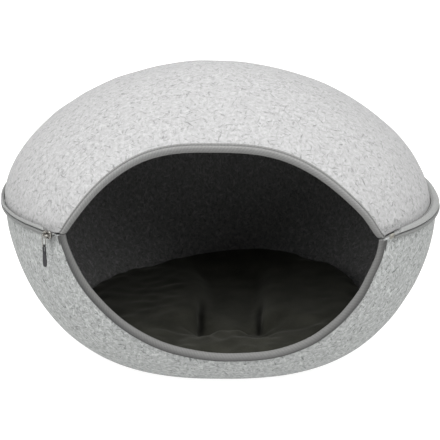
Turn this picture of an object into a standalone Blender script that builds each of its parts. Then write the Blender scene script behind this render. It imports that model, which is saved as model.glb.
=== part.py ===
"""Felt cat cave: a domed lid and a bowl of moulded felt, zipped together round the back.

Frame: metres, +Z up, floor at Z = 0, origin under the middle of the flat base.
The mouth faces -Y, and +X is on the right of someone who looks into it.
"""
import bmesh
import bpy
import numpy as np

# Overall size
HALF_WIDTH = 0.235          # middle to the outermost edge of the zip, along X
DEPTH_RATIO = 0.90          # depth over width, in plan
PLAN_POWER = 2.35           # superellipse power of the plan: 2 is an ellipse
SEAM_HEIGHT = 0.181         # height of the zip above the floor, at X = 0
SEAM_TILT = 0.0102          # the zip falls by this share of X towards +X
SAG_LEFT = 0.0025           # the cloth sags this much at the mouth's corners
SAG_RIGHT = 0.0045
SAG_AT = 0.1605             # distance of the sag's middle from X = 0
SAG_WIDE = 0.010
SAG_TALL = 0.030

# Cloth thicknesses and clearances
FELT = 0.0030
LINING = 0.0015
TAPE = 0.0010
GAP = 0.00045
RIM_GAP = 0.0009            # half of the slot between the two felt rims
BINDING_GAP = 0.0006        # between the binding and the cloth it holds
WALL = FELT + GAP + LINING
WALL_BOW = 0.0012           # extra room where flat facets stand in for a hollow face

# The two moulded halves: a superelliptic curve runs from the rim to the pole
DOME = {"rise": 0.1386, "power": 1.760, "flat": 0.0, "inset": 0.0071, "lean": -0.0028, "sway": -0.0024,
        "up": 1.0}
BOWL = {"rise": SEAM_HEIGHT, "power": 1.858, "flat": 0.423, "inset": 0.0035, "lean": 0.0007,
        "sway": 0.0014, "up": -1.0}
ZIP_EDGE = {"rise": 1.0, "power": 2.0, "flat": 0.0, "inset": 0.0, "lean": 0.0, "sway": 0.0, "up": 1.0}

# Mouth: each arch is rise * (1 - |s|^a)^(1/b), with s from -1 to 1 across the mouth
MOUTH_HALF = 0.1605
MOUTH_MIDDLE = 0.0048
ARCHES = {
    "dome": {"rise": 0.0867, "a": 2.86, "b": 0.954, "skew": -0.0084, "end": 0.0018},
    "bowl": {"rise": 0.1345, "a": 2.29, "b": 1.509, "skew": 0.0126, "end": RIM_GAP},
}
BINDING_WIDTH = 0.0050      # width of the binding that shows on the outer face
FELT_INSET = BINDING_WIDTH - TAPE - GAP
INNER_LEG = 0.7             # the leg on the lining is this share of the one on the felt
FOLD = {"soft": 0.6, "swell": 0.2, "bevel": 0.5, "flat": 0.4}     # shares of TAPE, flat of FELT

# Zip: heights are measured from the seam, depths inwards from its outermost edge
UPPER_TAPE_HEIGHT = 0.0030
LOWER_TAPE_HEIGHT = 0.0040
TAPE_LIP = 0.0022           # height at which a tape turns in to the chain
TAPE_TUCK = 0.0005          # the upper tape's cut edge lies this much lower than its face
TAPE_CROWN = 0.0005         # swelling of a tape halfway across
TAPE_FOOT = 0.00048         # clearance of a tape's cut edge from the felt
TAPE_INNER = 0.0018         # depth of a tape's turned-in edge
CHAIN_HALF = 0.0008
CHAIN_OUTER = 0.0005
CHAIN_INNER = 0.0022
TAPE_END = 0.0028           # the tapes stop this far outside the mouth's corner
TAB_LENGTH = 0.0034
TAB_HALF = 0.0024
TAB_DEPTH = 0.0026
TAB_RAISE = 0.0015          # the tab rides above the sagging corner

# Slider, link and pull
SLIDER_X = -0.1649
SLIDER = {"length": 0.0108, "height": 0.0090, "near": -0.0001, "far": 0.0025, "edge": 0.0006, "face": 0.86}
SLIDER_SIDE = ((-1.0, 0.70), (-0.45, 1.0), (0.35, 0.80), (1.0, 0.95))     # shares of half length, half height
BRIDGE = {"half": 0.0036, "bar": 0.0059, "thick": 0.0010, "wide": 0.0012, "sink": 0.0012, "knee": 0.0016,
          "bend": 0.55}
LINK = {"wire": 0.00045, "half": 0.0020, "top": 0.0016, "bottom": -0.0111}
PULL = {"top": -0.0091, "bottom": -0.0320, "top_half": 0.0017, "bottom_half": 0.0024,
        "thick": 0.0012, "slot_half": 0.0009, "slot_top": -0.0102, "slot_bottom": -0.0160,
        "foot": 0.6, "corner": 0.001}
CUTTER_OVERRUN = 0.001

# Cushion: the rim stands higher on the +X side and most of all at the back right, where the
# filling has shifted; the hump there is a bell curve round its direction, in radians
CUSHION_CLEAR = 0.0005
CUSHION_SIDE_CLEAR = 0.0026
CUSHION_FLOOR_HEIGHTS = (0.011, 0.022, 0.034)
CUSHION_CENTRE = 0.054
CUSHION_RIM = {"height": 0.0485, "rise_to_x": 0.0085, "hump": 0.019, "hump_at": 1.19, "hump_wide": 1.0}
CUSHION_SECTION = (
    {"out": 0.988, "up": 0.40},
    {"out": 0.950, "up": 0.74},
    {"out": 0.880, "up": 0.93},
    {"out": 0.760, "up": 1.00},
    {"out": 0.600, "up": 1.00},
    {"out": 0.440, "up": 1.00},
    {"out": 0.280, "up": 1.00},
    {"out": 0.140, "up": 1.00},
)
TUFTS = (
    {"x": -0.020, "y": -0.076, "deep": 0.015, "wide": 0.020, "crease": 0.080},
    {"x": 0.044, "y": -0.089, "deep": 0.015, "wide": 0.020, "crease": 0.150},
)
CREASE_DEPTH = 0.007
CREASE_WIDTH = 0.008

# Mesh resolution
SHARP_ANGLE = 0.6
TANGENT_STEP = 1e-4
BACK_COLUMNS = 30
FRONT_COLUMNS = 26
SHELL_ROWS = 7
EDGE_STEPS = (0.0, 0.006)
CUSHION_COLUMNS = 32
LINK_SEGMENTS = 20
LINK_SIDES = 6


def clear_scene():
    """Take away whatever the file opens with."""
    for item in list(bpy.data.objects):
        bpy.data.objects.remove(item, do_unlink=True)


def make_material(name, colour, roughness, metallic=0.0):
    """One Principled BSDF in a linear colour."""
    material = bpy.data.materials.new(name)
    material.use_nodes = True
    shader = material.node_tree.nodes["Principled BSDF"]
    shader.inputs["Base Color"].default_value = (*colour, 1.0)
    shader.inputs["Roughness"].default_value = roughness
    shader.inputs["Metallic"].default_value = metallic
    return material


def make_object(name, points, faces, material):
    """A closed mesh with its faces turned outwards."""
    mesh = bpy.data.meshes.new(name)
    mesh.from_pydata([tuple(point) for point in points], [], faces)
    body = bmesh.new()
    body.from_mesh(mesh)
    bmesh.ops.recalc_face_normals(body, faces=body.faces)
    body.to_mesh(mesh)
    body.free()
    mesh.shade_smooth()
    mesh.set_sharp_from_angle(angle=SHARP_ANGLE)
    mesh.materials.append(material)
    item = bpy.data.objects.new(name, mesh)
    bpy.context.scene.collection.objects.link(item)
    return item


def plan_radius(phi):
    """Distance from the axis to the zip's outermost edge, in the direction phi."""
    across = np.abs(np.cos(phi)) ** PLAN_POWER
    along = np.abs(np.sin(phi) / DEPTH_RATIO) ** PLAN_POWER
    return HALF_WIDTH * (across + along) ** (-1.0 / PLAN_POWER)


def tilted(x, y, z):
    """Points of the upright shape, lowered for the seam's tilt and for the sag at the corners."""
    drop = SEAM_TILT * x * np.minimum(z / SEAM_HEIGHT, 1.0)
    away = ((np.abs(x) - SAG_AT) / SAG_WIDE) ** 2 + ((z - SEAM_HEIGHT) / SAG_TALL) ** 2
    sag = np.where(x > 0.0, SAG_RIGHT, SAG_LEFT) * np.exp(-away) * (y < 0.0)
    return np.stack([x, y, z - drop - sag], axis=-1)


def shell_point(shell, phi, angle):
    """Outer face of a half: angle is 0 at the rim and a right angle at the pole."""
    phi, angle = np.broadcast_arrays(phi, angle)
    power = 2.0 / shell["power"]
    reach = shell["flat"] + (1.0 - shell["flat"]) * np.maximum(np.cos(angle), 0.0) ** power
    reach = reach * (plan_radius(phi) - shell["inset"])
    height = shell["rise"] * np.sin(angle) ** power
    x = shell["lean"] + shell["sway"] * np.sin(angle) + reach * np.cos(phi)
    return tilted(x, reach * np.sin(phi), SEAM_HEIGHT + shell["up"] * height)


def shell_angle(shell, height):
    """Angle at which a half is this far from the seam."""
    share = np.clip(height / shell["rise"], 0.0, 1.0)
    return np.arcsin(share ** (shell["power"] / 2.0))


def unit(vectors):
    """Vectors of length one."""
    return vectors / np.linalg.norm(vectors, axis=-1, keepdims=True)


def shell_normal(shell, phi, angle):
    """Outward normal of a half, from its two tangents."""
    step = TANGENT_STEP
    angle = np.clip(angle, 100.0 * step, np.pi / 2 - 100.0 * step)
    round_it = shell_point(shell, phi + step, angle) - shell_point(shell, phi - step, angle)
    along_it = shell_point(shell, phi, angle + step) - shell_point(shell, phi, angle - step)
    return unit(np.cross(round_it, along_it)) * shell["up"]


def arch_line(arch, inset):
    """Positions across and heights from the seam of a mouth arch, moved in by inset; the height
    never falls under the arch's end."""
    share = np.sin(np.linspace(-0.5, 0.5, FRONT_COLUMNS + 1) * np.pi)
    across = MOUTH_MIDDLE + arch["skew"] * (1.0 - share ** 2) + share * (MOUTH_HALF - inset)
    height = (arch["rise"] - inset) * (1.0 - np.abs(share) ** arch["a"]) ** (1.0 / arch["b"])
    return across, np.maximum(height, arch["end"])


def front_phi(shell, across, angle):
    """Direction, on the front side, in which a half reaches this X: by bisection."""
    low = np.full_like(across, -np.pi)
    high = np.zeros_like(across)
    for _ in range(40):
        middle = 0.5 * (low + high)
        beyond = shell_point(shell, middle, angle)[..., 0] > across
        high = np.where(beyond, middle, high)
        low = np.where(beyond, low, middle)
    return 0.5 * (low + high)


def seam_point(phi, inwards, height):
    """Point in from the zip's outermost edge, at a height from the seam."""
    phi = np.asarray(phi, dtype=float)
    rim = np.stack([plan_radius(phi) * np.cos(phi), plan_radius(phi) * np.sin(phi)], axis=-1)
    after = phi + TANGENT_STEP
    ahead = np.stack([plan_radius(after) * np.cos(after), plan_radius(after) * np.sin(after)], axis=-1)
    run = unit(ahead - rim)
    outwards = np.stack([run[..., 1], -run[..., 0]], axis=-1)
    spot = rim - outwards * inwards
    return tilted(spot[..., 0], spot[..., 1], SEAM_HEIGHT + height + 0.0 * phi)


def corner_phi(shell, across):
    """Direction, on the front side, of a point of a half's rim or of the zip's edge."""
    return float(front_phi(shell, np.array([across]), np.zeros(1))[0])


def back_columns(shell):
    """Directions of the zip's columns, from the mouth's right corner round the back."""
    right = corner_phi(shell, MOUTH_MIDDLE + MOUTH_HALF + TAPE_END + TAB_LENGTH + GAP)
    left = corner_phi(shell, MOUTH_MIDDLE - MOUTH_HALF - TAPE_END) + 2.0 * np.pi
    return np.linspace(right, left, BACK_COLUMNS + 1)


def shell_columns(shell, arch):
    """Directions and edge heights of a half's columns, once round, and the mouth's share."""
    across, height = arch_line(arch, FELT_INSET)
    front = front_phi(shell, across, shell_angle(shell, height))
    back = back_columns(shell)
    edge = np.concatenate([height, np.full(len(back), RIM_GAP)])
    return np.concatenate([front, back]), edge, len(front)


def shell_grid(shell, arch):
    """Outer face and normals as rows from the edge to the pole."""
    phi, edge, _ = shell_columns(shell, arch)
    rows = [shell_angle(shell, edge + step) for step in EDGE_STEPS]
    shares = np.linspace(0.0, 1.0, SHELL_ROWS - len(EDGE_STEPS) + 1)[1:]
    rows += [rows[-1] + (np.pi / 2 - rows[-1]) * share for share in shares]
    rows = np.array(rows)
    points = shell_point(shell, phi[None, :], rows)
    normals = shell_normal(shell, phi[None, :], rows)
    normals[-1] = (0.0, 0.0, shell["up"])
    return points, normals


def ring_faces(rows, columns, start):
    """Quads of a grid that closes on itself round its columns."""
    faces = []
    for row in range(rows - 1):
        for column in range(columns):
            after = (column + 1) % columns
            low = start + row * columns
            faces.append((low + column, low + after, low + columns + after, low + columns + column))
    return faces


def layer(name, shell, arch, depth, thickness, material):
    """One cloth layer of a half: two parallel faces joined round the edge."""
    points, normals = shell_grid(shell, arch)
    if shell["flat"] == 0.0:
        points, normals = points[:-1], normals[:-1]
    rows, columns, _ = points.shape
    pole = shell_point(shell, np.zeros(1), np.full(1, np.pi / 2))[0]
    if shell["flat"] > 0.0:
        pole = np.array([0.0, 0.0, 0.0])
    down = np.array([0.0, 0.0, -shell["up"]])
    outer = (points - normals * depth).reshape(-1, 3)
    inner = (points - normals * (depth + thickness)).reshape(-1, 3)
    tips = np.array([pole + down * depth, pole + down * (depth + thickness)])
    half = rows * columns
    faces = ring_faces(rows, columns, 0) + ring_faces(rows, columns, half)
    for column in range(columns):
        after = (column + 1) % columns
        last = half - columns
        faces.append((last + column, last + after, 2 * half))
        faces.append((half + last + column, half + last + after, 2 * half + 1))
        faces.append((column, after, half + after, half + column))
    return make_object(name, np.concatenate([outer, inner, tips]), faces, material)


def sweep(name, sections, material):
    """A solid through sections of equal point count, with capped ends."""
    stations, sides, _ = sections.shape
    faces = []
    for station in range(stations - 1):
        for side in range(sides):
            after = (side + 1) % sides
            low = station * sides
            faces.append((low + side, low + after, low + sides + after, low + sides + side))
    faces.append(tuple(range(sides)))
    faces.append(tuple(range((stations - 1) * sides, stations * sides)))
    return make_object(name, sections.reshape(-1, 3), faces, material)


def arch_frame(shell, arch, inset):
    """Points, outward normals and inward directions along a mouth arch on the outer face."""
    across, height = arch_line(arch, inset)
    angle = shell_angle(shell, height)
    phi = front_phi(shell, across, angle)
    points = shell_point(shell, phi, angle)
    normals = shell_normal(shell, phi, angle)
    along = unit(np.gradient(points, axis=0))
    return points, normals, unit(np.cross(along, normals)) * shell["up"]


def binding(name, shell, arch, material):
    """Tape folded round the cut edge: a U section carried along the arch."""
    edge, out, inwards = arch_frame(shell, arch, FELT_INSET)
    rim, rim_out, _ = arch_frame(shell, arch, 0.0)
    leg, leg_out, _ = arch_frame(shell, arch, INNER_LEG * FELT_INSET)
    fold = BINDING_GAP + TAPE
    back = -WALL - BINDING_GAP
    soft = FOLD["soft"] * TAPE
    flat = FOLD["flat"] * FELT
    near, bevel = BINDING_GAP, BINDING_GAP + soft
    turn = ((near, fold + FOLD["swell"] * TAPE), (bevel, fold - FOLD["bevel"] * TAPE), (fold, -flat),
            (fold, back + flat), (bevel, back - soft), (near, back - TAPE))
    sections = [rim + rim_out * fold]
    sections += [edge + inwards * u + out * v for u, v in turn]
    sections += [leg + leg_out * (back - TAPE - WALL_BOW), leg + leg_out * (back - WALL_BOW)]
    sections += [edge + inwards * BINDING_GAP + out * back, edge + inwards * BINDING_GAP + out * BINDING_GAP]
    sections.append(rim + rim_out * BINDING_GAP)
    return sweep(name, np.stack(sections, axis=1), material)


def zip_tape(name, shell, height, up, tuck, material):
    """Strip from a half's face out to the chain, with its edge turned in above or below it."""
    phi = back_columns(ZIP_EDGE)
    side = back_columns(shell)
    foot = shell_angle(shell, height)
    wall = shell_point(shell, side, foot)
    out = shell_normal(shell, side, foot)
    face = wall + out * (GAP + TAPE)
    lip = seam_point(phi, 0.0, up * TAPE_LIP)
    crown = 0.5 * (face + lip) + out * TAPE_CROWN
    turned = up * (CHAIN_HALF + GAP)
    sections = [wall + out * TAPE_FOOT - np.array([0.0, 0.0, tuck]), face, crown, lip,
                seam_point(phi, 0.0, turned), seam_point(phi, TAPE_INNER, turned)]
    return sweep(name, np.stack(sections, axis=1), material)


def zip_chain(material):
    """The closed teeth as one bar between the two tapes."""
    phi = back_columns(ZIP_EDGE)
    corners = ((CHAIN_OUTER, CHAIN_HALF), (CHAIN_INNER, CHAIN_HALF),
               (CHAIN_INNER, -CHAIN_HALF), (CHAIN_OUTER, -CHAIN_HALF))
    sections = [seam_point(phi, depth, height) for depth, height in corners]
    return sweep("zip_chain", np.stack(sections, axis=1), material)


def zip_end_tab(material):
    """Folded tab over the end of the zip at the mouth's right corner."""
    start = MOUTH_MIDDLE + MOUTH_HALF + TAPE_END
    phi = np.array([corner_phi(ZIP_EDGE, start), corner_phi(ZIP_EDGE, start + TAB_LENGTH)])
    high, low = TAB_RAISE + TAB_HALF, TAB_RAISE - TAB_HALF
    corners = ((0.0, high), (TAB_DEPTH, high), (TAB_DEPTH, low), (0.0, low))
    sections = [seam_point(phi, depth, height) for depth, height in corners]
    return sweep("zip_end_tab", np.stack(sections, axis=1), material)


def slider_frame():
    """Origin on the zip's outermost edge, and the run, outward and up directions there."""
    phi = corner_phi(ZIP_EDGE, SLIDER_X)
    origin = seam_point(phi, 0.0, 0.0)
    outwards = unit(origin - seam_point(phi, 0.001, 0.0))
    outwards = unit(outwards * np.array([1.0, 1.0, 0.0]))
    run = np.array([-outwards[1], outwards[0], 0.0])
    return origin, run, outwards, np.array([0.0, 0.0, 1.0])


def placed(local):
    """Slider coordinates (run, outwards, up) as world points."""
    origin, run, outwards, up = slider_frame()
    local = np.asarray(local, dtype=float)
    return origin + local[..., :1] * run + local[..., 1:2] * outwards + local[..., 2:3] * up


def zip_slider(material):
    """Waisted plate with a bridge that the link hangs on, joined as one casting."""
    half = SLIDER["length"] / 2.0
    tall = SLIDER["height"] / 2.0
    outline = [(run * half, rise * tall) for run, rise in SLIDER_SIDE]
    outline += [(run, -rise) for run, rise in reversed(outline)]
    depths = ((SLIDER["near"], 1.0), (SLIDER["far"] - SLIDER["edge"], 1.0), (SLIDER["far"], SLIDER["face"]))
    plate = [[(scale * run, depth, scale * up) for run, up in outline] for depth, scale in depths]
    body = sweep("zip_slider", placed(plate), material)
    reach = BRIDGE["half"]
    bar = BRIDGE["bar"]
    thick = BRIDGE["thick"] / 2.0
    sink = SLIDER["far"] - BRIDGE["sink"]
    knee = bar - BRIDGE["knee"]
    bend = BRIDGE["bend"] * reach
    middle = ((-reach, sink, -thick, 0.0), (-reach, knee, -thick, -0.25 * thick), (-bend, bar, 0.0, -thick),
              (bend, bar, 0.0, -thick), (reach, knee, thick, -0.25 * thick), (reach, sink, thick, 0.0))
    wide = BRIDGE["wide"] / 2.0
    stations = []
    for run, depth, side, rise in middle:
        inner = (run - side, depth + rise)
        outer = (run + side, depth - rise)
        stations.append([(inner[0], inner[1], -wide), (inner[0], inner[1], wide),
                         (outer[0], outer[1], wide), (outer[0], outer[1], -wide)])
    bridge = sweep("bridge_cutter", placed(stations), material)
    join = body.modifiers.new("join", "BOOLEAN")
    join.operation = "UNION"
    join.object = bridge
    bridge.hide_render = True
    bridge.display_type = "WIRE"
    return body


def zip_link(material):
    """Long wire link through the bridge, hanging straight down."""
    half = LINK["half"]
    top = LINK["top"] - half
    bottom = LINK["bottom"] + half
    turn = np.linspace(0.0, 2.0 * np.pi, LINK_SEGMENTS, endpoint=False) + np.pi / LINK_SEGMENTS
    middle = np.where(np.sin(turn) > 0.0, top, bottom)
    line = np.stack([0.0 * turn, BRIDGE["bar"] + half * np.cos(turn), middle + half * np.sin(turn)], axis=-1)
    away = np.stack([0.0 * turn, np.cos(turn), np.sin(turn)], axis=-1)
    side = np.array([1.0, 0.0, 0.0])
    ring = np.linspace(0.0, 2.0 * np.pi, LINK_SIDES, endpoint=False)
    wire = LINK["wire"]
    points = np.stack([line + wire * (away * np.cos(a) + side * np.sin(a)) for a in ring], axis=1)
    faces = []
    for station in range(LINK_SEGMENTS):
        after = (station + 1) % LINK_SEGMENTS
        for s in range(LINK_SIDES):
            t = (s + 1) % LINK_SIDES
            faces.append((station * LINK_SIDES + s, station * LINK_SIDES + t,
                          after * LINK_SIDES + t, after * LINK_SIDES + s))
    return make_object("zip_link", placed(points.reshape(-1, 3)), faces, material)


def zip_pull(material):
    """Slim pull, wider at its foot, with a slot at the top for the link."""
    near = BRIDGE["bar"] - PULL["thick"] / 2.0
    far = BRIDGE["bar"] + PULL["thick"] / 2.0
    top, foot = PULL["top"], PULL["bottom"]
    a, b = PULL["top_half"], PULL["bottom_half"]
    low, narrow = foot + PULL["corner"], PULL["foot"] * b
    outer = ((-a, top), (a, top), (a, PULL["slot_bottom"]), (b, low), (narrow, foot), (-narrow, foot),
             (-b, low), (-a, PULL["slot_bottom"]))
    body = sweep("zip_pull", placed([[(x, y, z) for x, z in outer] for y in (near, far)]), material)
    side, high, low = PULL["slot_half"], PULL["slot_top"], PULL["slot_bottom"]
    slot = ((-side, high), (side, high), (side, low), (-side, low))
    depths = (near - CUTTER_OVERRUN, far + CUTTER_OVERRUN)
    cutter = sweep("slot_cutter", placed([[(x, y, z) for x, z in slot] for y in depths]), material)
    cut = body.modifiers.new("slot", "BOOLEAN")
    cut.operation = "DIFFERENCE"
    cut.object = cutter
    cutter.hide_render = True
    cutter.display_type = "WIRE"
    return body


def bowl_reach(phi, height):
    """Distance from the axis to the bowl's lining at a height above the floor."""
    angle = shell_angle(BOWL, SEAM_HEIGHT - height)
    spot = shell_point(BOWL, phi, angle) - shell_normal(BOWL, phi, angle) * (WALL + CUSHION_SIDE_CLEAR)
    return np.hypot(spot[..., 0], spot[..., 1]), spot[..., 2]


def cushion_rim(phi):
    """Height of the cushion's rim in each direction."""
    away = (phi - CUSHION_RIM["hump_at"] + np.pi) % (2.0 * np.pi) - np.pi
    hump = CUSHION_RIM["hump"] * np.exp(-(away / CUSHION_RIM["hump_wide"]) ** 2)
    return CUSHION_RIM["height"] + CUSHION_RIM["rise_to_x"] * np.cos(phi) + hump


def cushion_top(x, y, rim_height, out):
    """Height of the cushion's crown, with its tufts and the creases behind them."""
    height = CUSHION_CENTRE + (rim_height - CUSHION_CENTRE) * np.clip(out, 0.0, 1.0) ** 2
    for tuft in TUFTS:
        away = (x - tuft["x"]) ** 2 + (y - tuft["y"]) ** 2
        height = height - tuft["deep"] * np.exp(-away / (2.0 * tuft["wide"] ** 2))
        along = np.clip((y - tuft["y"]) / tuft["crease"], 0.0, 1.0)
        ridge = CREASE_DEPTH * np.sin(np.pi * along) * np.exp(-((x - tuft["x"]) / CREASE_WIDTH) ** 2)
        height = height - ridge
    return height


def cushion(material):
    """Filled cushion: its underside lies on the bowl and its top is crowned and tufted."""
    phi = np.linspace(0.0, 2.0 * np.pi, CUSHION_COLUMNS, endpoint=False)
    floor = WALL + CUSHION_CLEAR
    base = (plan_radius(phi) - BOWL["inset"]) * BOWL["flat"] - CUSHION_SIDE_CLEAR
    rows = [np.stack([base * np.cos(phi), base * np.sin(phi), np.full_like(phi, floor)], axis=-1)]
    for level in CUSHION_FLOOR_HEIGHTS:
        reach, height = bowl_reach(phi, np.full_like(phi, level))
        rows.append(np.stack([reach * np.cos(phi), reach * np.sin(phi), height], axis=-1))
    widest, start = reach, height
    rim = cushion_rim(phi)
    for part in CUSHION_SECTION:
        out = widest * part["out"]
        x, y = out * np.cos(phi), out * np.sin(phi)
        crown = cushion_top(x, y, rim, part["out"])
        rows.append(np.stack([x, y, start + (crown - start) * part["up"]], axis=-1))
    rows = np.array(rows)
    count = CUSHION_COLUMNS
    total = len(rows) * count
    faces = ring_faces(len(rows), count, 0)
    for column in range(count):
        after = (column + 1) % count
        faces.append((column, after, total))
        faces.append((total - count + column, total - count + after, total + 1))
    peak = float(cushion_top(np.zeros(1), np.zeros(1), np.full(1, CUSHION_CENTRE), np.zeros(1))[0])
    poles = np.array([[0.0, 0.0, floor], [0.0, 0.0, peak]])
    return make_object("cushion", np.concatenate([rows.reshape(-1, 3), poles]), faces, material)


def build():
    """Make every piece, outermost cloth first."""
    clear_scene()
    felt = make_material("light_felt", (0.50, 0.51, 0.51), 0.95)
    dark_felt = make_material("dark_felt", (0.030, 0.030, 0.033), 0.95)
    ribbed = make_material("ribbed_tape", (0.22, 0.22, 0.22), 0.80)
    zip_cloth = make_material("zip_cloth", (0.36, 0.36, 0.35), 0.80)
    teeth = make_material("zip_teeth", (0.12, 0.12, 0.12), 0.50)
    tab_cloth = make_material("tab_cloth", (0.48, 0.46, 0.40), 0.70)
    nickel = make_material("nickel", (0.72, 0.71, 0.69), 0.25, 1.0)
    gunmetal = make_material("gunmetal", (0.10, 0.10, 0.11), 0.35, 1.0)
    plush = make_material("plush", (0.012, 0.012, 0.010), 1.00)
    layer("upper_shell", DOME, ARCHES["dome"], 0.0, FELT, felt)
    layer("lower_shell", BOWL, ARCHES["bowl"], 0.0, FELT, felt)
    layer("upper_lining", DOME, ARCHES["dome"], FELT + GAP, LINING, dark_felt)
    layer("lower_lining", BOWL, ARCHES["bowl"], FELT + GAP, LINING, dark_felt)
    binding("mouth_binding_upper", DOME, ARCHES["dome"], ribbed)
    binding("mouth_binding_lower", BOWL, ARCHES["bowl"], ribbed)
    zip_tape("zip_tape_upper", DOME, UPPER_TAPE_HEIGHT, 1.0, TAPE_TUCK, zip_cloth)
    zip_tape("zip_tape_lower", BOWL, LOWER_TAPE_HEIGHT, -1.0, 0.0, zip_cloth)
    zip_chain(teeth)
    zip_end_tab(tab_cloth)
    zip_slider(nickel)
    zip_link(nickel)
    zip_pull(gunmetal)
    cushion(plush)


build()
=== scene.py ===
"""Felt cat cave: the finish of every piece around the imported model, in metres, +Z up.

The mouth faces -Y and +X is on the right of someone who looks into it. The pieces follow in the
order in which the cave is put together: felt, lining, binding, zip, slider, cushion.
"""
import math

import bpy
import numpy as np
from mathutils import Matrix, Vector


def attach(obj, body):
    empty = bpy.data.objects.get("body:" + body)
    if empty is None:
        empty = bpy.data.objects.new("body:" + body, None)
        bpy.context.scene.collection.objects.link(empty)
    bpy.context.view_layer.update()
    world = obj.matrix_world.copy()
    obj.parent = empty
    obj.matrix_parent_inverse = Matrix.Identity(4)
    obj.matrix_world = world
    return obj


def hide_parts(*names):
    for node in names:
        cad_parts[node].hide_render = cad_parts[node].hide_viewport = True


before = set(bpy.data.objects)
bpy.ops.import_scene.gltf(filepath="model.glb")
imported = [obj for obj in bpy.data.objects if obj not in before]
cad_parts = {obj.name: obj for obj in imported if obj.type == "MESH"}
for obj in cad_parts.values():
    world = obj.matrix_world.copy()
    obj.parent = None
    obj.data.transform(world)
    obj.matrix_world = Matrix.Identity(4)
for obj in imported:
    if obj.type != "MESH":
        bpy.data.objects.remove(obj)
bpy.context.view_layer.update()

scene = bpy.context.scene

# ---------------------------------------------------- camera
# A long lens a little above the cave, looking down through the mouth at the cushion. It stands
# a degree to the right of the middle.
LENS_MM = 104.757
SENSOR_MM = 36.0
LOOK_AT = Vector((-0.0004, 0.0, 0.1450))
CAMERA = {"distance": 1.41, "azimuth": 0.833, "elevation": 17.01}


def heading(azimuth, elevation):
    """Direction at an azimuth, counted from -Y towards +X, and an elevation, in degrees."""
    turn, rise = math.radians(azimuth), math.radians(elevation)
    flat = math.cos(rise)
    return Vector((math.sin(turn) * flat, -math.cos(turn) * flat, math.sin(rise)))


def aimed(name, data, spot, back):
    """An object that stands at a spot and looks away from the direction back."""
    item = bpy.data.objects.new(name, data)
    item.location = spot
    item.rotation_mode = "QUATERNION"
    item.rotation_quaternion = (-back).to_track_quat("-Z", "Y")
    scene.collection.objects.link(item)
    return item


lens = bpy.data.cameras.new("camera")
lens.lens = LENS_MM
lens.sensor_width = SENSOR_MM
back = heading(CAMERA["azimuth"], CAMERA["elevation"])
scene.camera = aimed("camera", lens, LOOK_AT + back * CAMERA["distance"], back)

# ------------------------------------------- light and floor
# A pale studio: a wide floor that glows of itself, with no lamp under it, and five soft lights far
# away, so that the floor stays even. Each is as wide as its angle. Plain view transform: white
# stays white.
FLOOR_SIZE = 14.0
FLOOR_DROP = 0.0002
WORLD_STRENGTH = 0.02
# The floor's own glow: painted light that fills the cave's cast shadow.
FLOOR_FILL_GLOW = 0.90
WHITE = (1.0, 1.0, 1.0, 1.0)
LIGHTS = (                  # azimuth, elevation and angle in degrees, strength
    ("above", 0.0, 61.0, 56.0, 3.38),
    ("front_left", -52.0, 36.0, 56.0, 2.00),
    ("front_right", 52.0, 36.0, 56.0, 1.62),
    ("behind", 180.0, 50.0, 60.0, 1.56),
    ("fill", 25.0, 25.0, 40.0, 0.22),
)
RGBA = {"data_type": "RGBA"}


def paint(colour):
    """Linear RGBA of an sRGB colour written as #rrggbb."""
    shares = np.array([int(colour[i:i + 2], 16) / 255.0 for i in (1, 3, 5)])
    low, high = shares / 12.92, ((shares + 0.055) / 1.055) ** 2.4
    return (*np.where(shares <= 0.04045, low, high).tolist(), 1.0)


def join(tree, node, **sockets):
    """Give each socket its value, its #rrggbb colour, or what feeds it: an output, or a node for
    its first output in use.

    A socket is named in small letters with _ for a space, or by its number as n6.
    """
    for key, value in sockets.items():
        words = key.replace("_", " ").title().replace("Ior", "IOR")
        socket = node.inputs[int(key[1:]) if key[1:].isdigit() else words]
        if isinstance(value, bpy.types.Node):
            value = next(output for output in value.outputs if output.enabled)
        if isinstance(value, bpy.types.NodeSocket):
            tree.links.new(value, socket)
        else:
            socket.default_value = paint(value) if isinstance(value, str) else value
    return node


def add(tree, kind, settings=None, **sockets):
    """One new node with its settings and its sockets."""
    made = tree.nodes.new("ShaderNode" + kind)
    for key, value in (settings or {}).items():
        setattr(made, key, value)
    return join(tree, made, **sockets)


def new_material(name):
    """An empty node material and its tree, with a Principled shader joined to its output."""
    material = bpy.data.materials.new(name)
    material.use_nodes = True
    tree = material.node_tree
    return material, tree, tree.nodes["Principled BSDF"]


world = bpy.data.worlds.new("studio")
world.use_nodes = True
join(world.node_tree, world.node_tree.nodes["Background"], color=WHITE, strength=WORLD_STRENGTH)
scene.world = world
scene.view_settings.view_transform = "Standard"

for name, azimuth, elevation, angle, strength in LIGHTS:
    lamp = bpy.data.lights.new(name, "SUN")
    lamp.energy = strength
    lamp.angle = math.radians(angle)
    aimed(name, lamp, Vector(), heading(azimuth, elevation))

# Opal acrylic sheet, matt, with a glow of its own and no lamp under it: painted light that keeps
# the cave's cast shadow pale and lights the bowl from below.
opal_sheet, tree, shader = new_material("opal_acrylic_sheet")
spot = add(tree, "TexCoord").outputs["Object"]
haze = add(tree, "TexNoise", vector=spot, scale=1.3, detail=2.0)
join(tree, shader, base_color=add(tree, "Mix", RGBA, n0=haze, n6="#888887", n7="#8c8c8b"),
     roughness=0.95, specular_ior_level=0.1, emission_color=WHITE, emission_strength=FLOOR_FILL_GLOW)
side = FLOOR_SIZE / 2.0
corners = ((-side, -side), (side, -side), (side, side), (-side, side))
mesh = bpy.data.meshes.new("floor")
mesh.from_pydata([(x, y, -FLOOR_DROP) for x, y in corners], [], [(0, 1, 2, 3)])
mesh.materials.append(opal_sheet)
floor = bpy.data.objects.new("floor", mesh)
scene.collection.objects.link(floor)

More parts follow.
